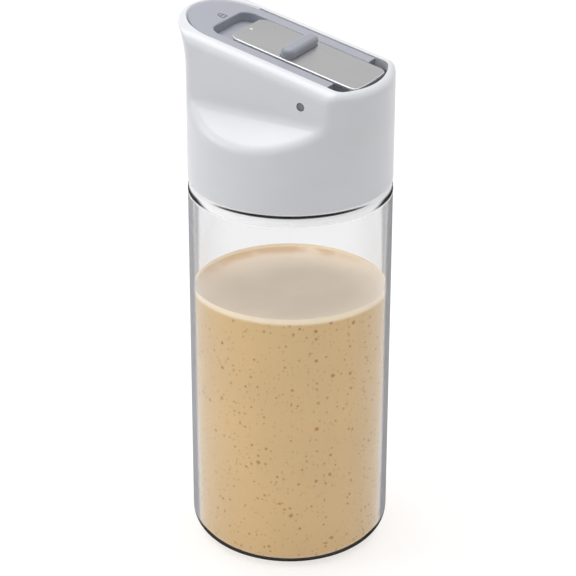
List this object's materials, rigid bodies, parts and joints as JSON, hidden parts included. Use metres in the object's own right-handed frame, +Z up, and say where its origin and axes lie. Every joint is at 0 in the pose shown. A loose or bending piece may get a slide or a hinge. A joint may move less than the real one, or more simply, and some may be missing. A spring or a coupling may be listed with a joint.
{
  "type": "salad_dressing_shaker",
  "caption": "Salad dressing shaker with a glass bottle, a white pouring lid, a press-to-open flap and a sliding steel-topped lock",
  "frame": {"origin": "Centre of the bottle's base, on the plane it stands on. The pouring nose points to -X and the thumb end to +X.", "axes": "Z up the bottle, X from the nose to the thumb end, Y across the hinge pin."},
  "size_m": [0.072, 0.068, 0.1854],
  "materials": {
    "clear_glass": "clear, polished",
    "dressing": "cloudy vinaigrette with flecks of herbs",
    "silicone": "soft silicone",
    "white_plastic": "glossy moulded white",
    "bright_steel": "bright drawn steel",
    "grey_plastic": "satin blue-grey",
    "slider_plastic": "satin blue-grey",
    "brushed_plate": "brushed along its length"
  },
  "bodies": {
    "bottle": {"glass_bottle": "clear_glass", "dressing_fill": "dressing"},
    "seal_ring": {"lid_gasket": "silicone"},
    "lid": {"lid_shell": "white_plastic", "inner_cap": "white_plastic", "duct_seal": "silicone", "hinge_pin": "bright_steel", "return_spring": "bright_steel"},
    "flap": {"flap_lever": "grey_plastic", "pour_seal": "silicone"},
    "lock": {"lock_slider": "slider_plastic", "steel_plate": "brushed_plate"}
  },
  "joints": [
    {"name": "lid_lift", "type": "slide", "parent": "bottle", "child": "seal_ring", "axis": [0, 0, 1], "range_m": [0, 0.08]},
    {"name": "lid_turn", "type": "hinge", "parent": "seal_ring", "child": "lid", "pos_m": [0, 0, 0.148], "axis": [0, 0, 1], "range_deg": [0, 270]},
    {"name": "flap_tilt", "type": "hinge", "parent": "lid", "child": "flap", "pos_m": [0.016, 0, 0.1665], "axis": [0, 1, 0], "range_deg": [0, 30], "stiffness_Nm_per_rad": 0.04, "springref_deg": -34.38, "deforming": ["return_spring"]},
    {"name": "lock_slide", "type": "slide", "parent": "flap", "child": "lock", "axis": [-0.9785, 0, 0.2062], "range_m": [0, 0.0065]}
  ]
}
